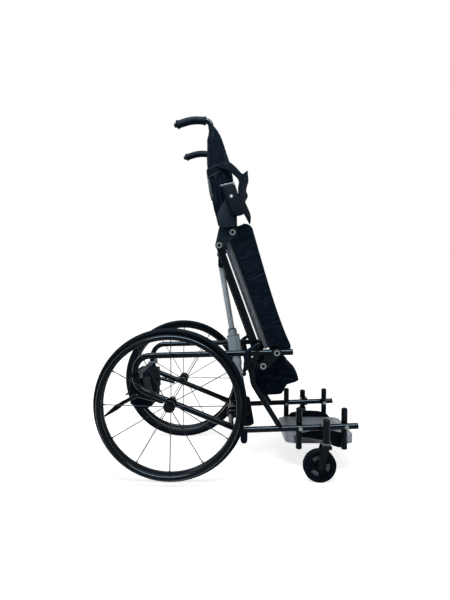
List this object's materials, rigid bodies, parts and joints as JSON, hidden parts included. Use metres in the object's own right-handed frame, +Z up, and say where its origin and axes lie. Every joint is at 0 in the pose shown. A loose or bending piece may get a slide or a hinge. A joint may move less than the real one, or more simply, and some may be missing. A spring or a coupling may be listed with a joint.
{
  "type": "standing wheelchair",
  "caption": "Manual wheelchair with a powered stand-up seat, shown raised: parallel lift linkage, central linear actuator, spoked rear wheels, casters, footplate and upholstered back.",
  "frame": {"origin": "middle of the overall box on the floor, with the seat raised", "axes": "+X to the front of the chair, +Y to its left, +Z up"},
  "size_m": [1.043, 0.658, 1.4269],
  "materials": {
    "frame_black": "satin black powder coat",
    "bolt_steel": "bright turned steel",
    "rubber_black": "matte rubber",
    "tyre_black": "matte moulded rubber",
    "spoke_steel": "dark satin steel",
    "aluminium": "satin extruded aluminium",
    "rod_steel": "pale blue-grey satin",
    "plastic_black": "fine-grained black plastic",
    "plastic_grey": "light grey plastic",
    "plastic_white": "white gloss plastic",
    "fabric_black": "black woven fabric",
    "webbing_grey": "grey webbing"
  },
  "bodies": {
    "frame": {"right_side_frame": "frame_black", "left_side_frame": "frame_black", "leg_tubes": "frame_black", "leg_cross_tube": "frame_black", "lower_cross_tube": "frame_black", "knee_brackets": "frame_black", "frame_bolts": "bolt_steel", "tube_caps": "rubber_black", "frame_feet": "rubber_black", "wheel_axles": "bolt_steel", "tipping_levers": "frame_black", "footplate": "aluminium", "footplate_bars": "frame_black", "footrest_posts": "frame_black", "foot_guards": "plastic_black", "caster_housings": "frame_black", "lock_brackets": "frame_black", "battery_bag": "fabric_black", "battery_pack": "plastic_black", "bag_straps": "webbing_grey", "calf_pad": "fabric_black"},
    "seat": {"seat_sides": "frame_black", "seat_tubes": "aluminium", "seat_base": "plastic_black", "seat_cushion": "fabric_black"},
    "backrest": {"back_canes": "frame_black", "back_brackets": "frame_black", "back_bolts": "bolt_steel", "back_upholstery": "fabric_black", "push_grips": "rubber_black", "back_bar": "frame_black", "control_box": "plastic_grey", "chest_belts": "fabric_black", "hand_control": "plastic_black", "control_clip": "bolt_steel"},
    "links": {"lift_links": "frame_black", "link_cross_tube": "frame_black"},
    "actuator_body": {"actuator_motor": "plastic_black", "actuator_tube": "aluminium", "actuator_head": "aluminium"},
    "actuator_ram": {"actuator_rod": "rod_steel"},
    "right_wheel": {"right_tyre": "tyre_black", "right_rim": "frame_black", "right_spokes": "spoke_steel", "right_hub": "frame_black", "right_handrim": "frame_black"},
    "left_wheel": {"left_tyre": "tyre_black", "left_rim": "frame_black", "left_spokes": "spoke_steel", "left_hub": "frame_black", "left_handrim": "frame_black"},
    "right_fork": {"right_caster_fork": "frame_black"},
    "left_fork": {"left_caster_fork": "frame_black"},
    "right_caster": {"right_caster_tyre": "tyre_black", "right_caster_core": "plastic_black"},
    "left_caster": {"left_caster_tyre": "tyre_black", "left_caster_core": "plastic_black"},
    "right_lock": {"right_lock_lever": "frame_black"},
    "left_lock": {"left_lock_lever": "frame_black"},
    "button": {"lift_button": "plastic_white"}
  },
  "joints": [
    {"name": "seat_lift", "type": "hinge", "parent": "frame", "child": "seat", "pos_m": [0.1865, 0, 0.49187], "axis": [0, -1, 0], "range_deg": [0, 69]},
    {"name": "back_level", "type": "hinge", "parent": "seat", "child": "backrest", "pos_m": [0.00873, 0, 0.96988], "axis": [0, -1, 0], "range_deg": [-69, 0]},
    {"name": "link_swing", "type": "hinge", "parent": "frame", "child": "links", "pos_m": [0.133, 0, 0.43937], "axis": [0, -1, 0], "range_deg": [0, 69]},
    {"name": "actuator_tilt", "type": "hinge", "parent": "frame", "child": "actuator_body", "pos_m": [0.0765, 0, 0.205], "axis": [0, -1, 0], "range_deg": [0, 50.27]},
    {"name": "rod_stroke", "type": "slide", "parent": "actuator_body", "child": "actuator_ram", "axis": [-0.175, 0, 0.9846], "range_m": [-0.20823, 0]},
    {"name": "right_wheel_spin", "type": "hinge", "parent": "frame", "child": "right_wheel", "pos_m": [-0.2265, -0.274, 0.295], "axis": [0, 1, 0], "continuous": true},
    {"name": "left_wheel_spin", "type": "hinge", "parent": "frame", "child": "left_wheel", "pos_m": [-0.2265, 0.274, 0.295], "axis": [0, 1, 0], "continuous": true},
    {"name": "right_caster_swivel", "type": "hinge", "parent": "frame", "child": "right_fork", "pos_m": [0.3765, -0.262, 0.127], "axis": [0, 0, 1], "continuous": true},
    {"name": "right_caster_spin", "type": "hinge", "parent": "right_fork", "child": "right_caster", "pos_m": [0.3505, -0.262, 0.0635], "axis": [0, 1, 0], "continuous": true},
    {"name": "left_caster_swivel", "type": "hinge", "parent": "frame", "child": "left_fork", "pos_m": [0.3765, 0.262, 0.127], "axis": [0, 0, 1], "continuous": true},
    {"name": "left_caster_spin", "type": "hinge", "parent": "left_fork", "child": "left_caster", "pos_m": [0.3505, 0.262, 0.0635], "axis": [0, 1, 0], "continuous": true},
    {"name": "right_wheel_lock", "type": "hinge", "parent": "frame", "child": "right_lock", "pos_m": [0.0675, -0.208, 0.44096], "axis": [0, 1, 0], "range_deg": [0, 18]},
    {"name": "left_wheel_lock", "type": "hinge", "parent": "frame", "child": "left_lock", "pos_m": [0.0675, 0.208, 0.44096], "axis": [0, 1, 0], "range_deg": [0, 18]},
    {"name": "lift_button_press", "type": "slide", "parent": "backrest", "child": "button", "axis": [0, 1, 0], "range_m": [0, 0.0015], "stiffness_N_per_m": 400}
  ],
  "couplings": [
    {"joint": "back_level", "follows": "seat_lift", "ratio": -1},
    {"joint": "link_swing", "follows": "seat_lift", "ratio": 1},
    {"joint": "actuator_tilt", "follows": "seat_lift", "ratio": 0.7282},
    {"joint": "rod_stroke", "follows": "seat_lift", "m_per_rad": -0.17282}
  ]
}
